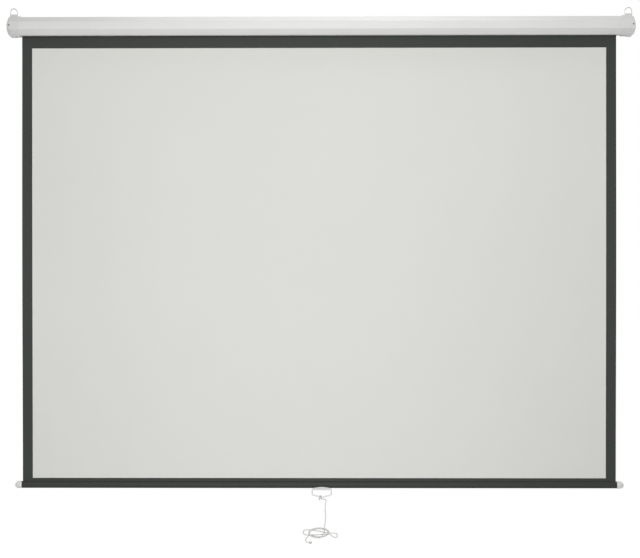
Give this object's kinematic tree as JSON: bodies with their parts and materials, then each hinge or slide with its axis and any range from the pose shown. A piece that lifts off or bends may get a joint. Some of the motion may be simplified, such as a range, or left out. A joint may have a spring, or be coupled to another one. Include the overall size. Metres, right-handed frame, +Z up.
{
  "type": "pull down projector screen",
  "caption": "Pull-down projector screen: octagonal case on two hanger rings, spring roller with a ratchet, black-bordered white sheet, weight bar, bail handle and a cord in a hank.",
  "frame": {"origin": "midway between the two points where the hanger rings bear on their hooks", "axes": "+X along the case to the right as seen from the front, -Y towards the viewer, +Z up; the screen is stored pulled down to its full height"},
  "size_m": [2.2172, 0.0706, 1.9011],
  "materials": {
    "case_paint": "satin white powder coat",
    "cap_plastic": "moulded, fine texture",
    "zinc_plate": "bright zinc plate",
    "steel": "plain drawn steel",
    "nylon": "natural nylon",
    "black_sheet": "matt black coating",
    "bar_paint": "satin black paint",
    "white_plastic": "moulded, semi-gloss",
    "dark_plastic": "moulded",
    "rod_wood": "plain turned dowel",
    "cord_white": "braided polyester cord"
  },
  "bodies": {
    "case": {"housing": "case_paint", "end_cap_left": "cap_plastic", "end_cap_right": "cap_plastic", "cap_front_screw_left": "zinc_plate", "cap_front_screw_right": "zinc_plate", "cap_lower_screw_left": "zinc_plate", "cap_lower_screw_right": "zinc_plate", "support_bracket_left": "steel", "support_bracket_right": "steel", "spear_shaft": "zinc_plate", "ratchet_hub": "zinc_plate", "spring_ferrule": "zinc_plate", "spring_rod": "rod_wood", "idle_bush": "nylon", "screen_sheet": "black_sheet"},
    "ring_left": {"hanger_ring_left": "zinc_plate"},
    "ring_right": {"hanger_ring_right": "zinc_plate"},
    "roller": {"roller_tube": "steel", "leader_wrap": "black_sheet", "ratchet_plug": "dark_plastic", "pawl_pin_upper": "zinc_plate", "pawl_pin_lower": "zinc_plate", "spring_anchor_plug": "dark_plastic", "torsion_spring": "steel", "idle_end_plug": "dark_plastic", "idle_pin": "steel"},
    "upper_pawl": {"pawl_upper": "steel"},
    "lower_pawl": {"pawl_lower": "steel"},
    "bar": {"weight_bar": "bar_paint", "bar_cap_left": "white_plastic", "bar_cap_right": "white_plastic", "bottom_hem": "black_sheet", "hem_rod": "dark_plastic", "handle_saddle": "white_plastic", "saddle_screw_left": "zinc_plate", "saddle_screw_right": "zinc_plate"},
    "handle": {"pull_handle": "white_plastic", "cord_hitch": "cord_white"},
    "cord": {"cord_drop": "cord_white", "cord_hank": "cord_white", "cord_tail": "cord_white", "cord_end_knot": "cord_white"}
  },
  "joints": [
    {"name": "screen_slide", "type": "slide", "parent": "case", "child": "bar", "axis": [0, 0, 1], "range_m": [0, 1.5698], "deforming": ["screen_sheet"]},
    {"name": "roller_spin", "type": "hinge", "parent": "case", "child": "roller", "pos_m": [0, -0.0105, -0.0608], "axis": [1, 0, 0], "range_deg": [0, 4680]},
    {"name": "upper_pawl_swing", "type": "hinge", "parent": "roller", "child": "upper_pawl", "pos_m": [1.07, -0.00373, -0.05113], "axis": [1, 0, 0], "range_deg": [-15, 9]},
    {"name": "lower_pawl_swing", "type": "hinge", "parent": "roller", "child": "lower_pawl", "pos_m": [1.07, -0.01727, -0.07047], "axis": [1, 0, 0], "range_deg": [0, 33]},
    {"name": "handle_swing", "type": "hinge", "parent": "bar", "child": "handle", "pos_m": [0.0032, 0.008, -1.70115], "axis": [1, 0, 0], "range_deg": [-75, 75]},
    {"name": "cord_swing", "type": "hinge", "parent": "handle", "child": "cord", "pos_m": [0.0088, 0.0036, -1.73613], "axis": [1, 0, 0], "range_deg": [-76, 76]},
    {"name": "ring_left_swing", "type": "hinge", "parent": "case", "child": "ring_left", "pos_m": [-1.0861, 0, -0.022], "axis": [1, 0, 0], "range_deg": [-90, 90]},
    {"name": "ring_right_swing", "type": "hinge", "parent": "case", "child": "ring_right", "pos_m": [1.0861, 0, -0.022], "axis": [1, 0, 0], "range_deg": [-90, 90]}
  ],
  "couplings": [
    {"joint": "roller_spin", "follows": "screen_slide", "rad_per_m": 52.033},
    {"joint": "cord_swing", "follows": "handle_swing", "ratio": -1}
  ]
}
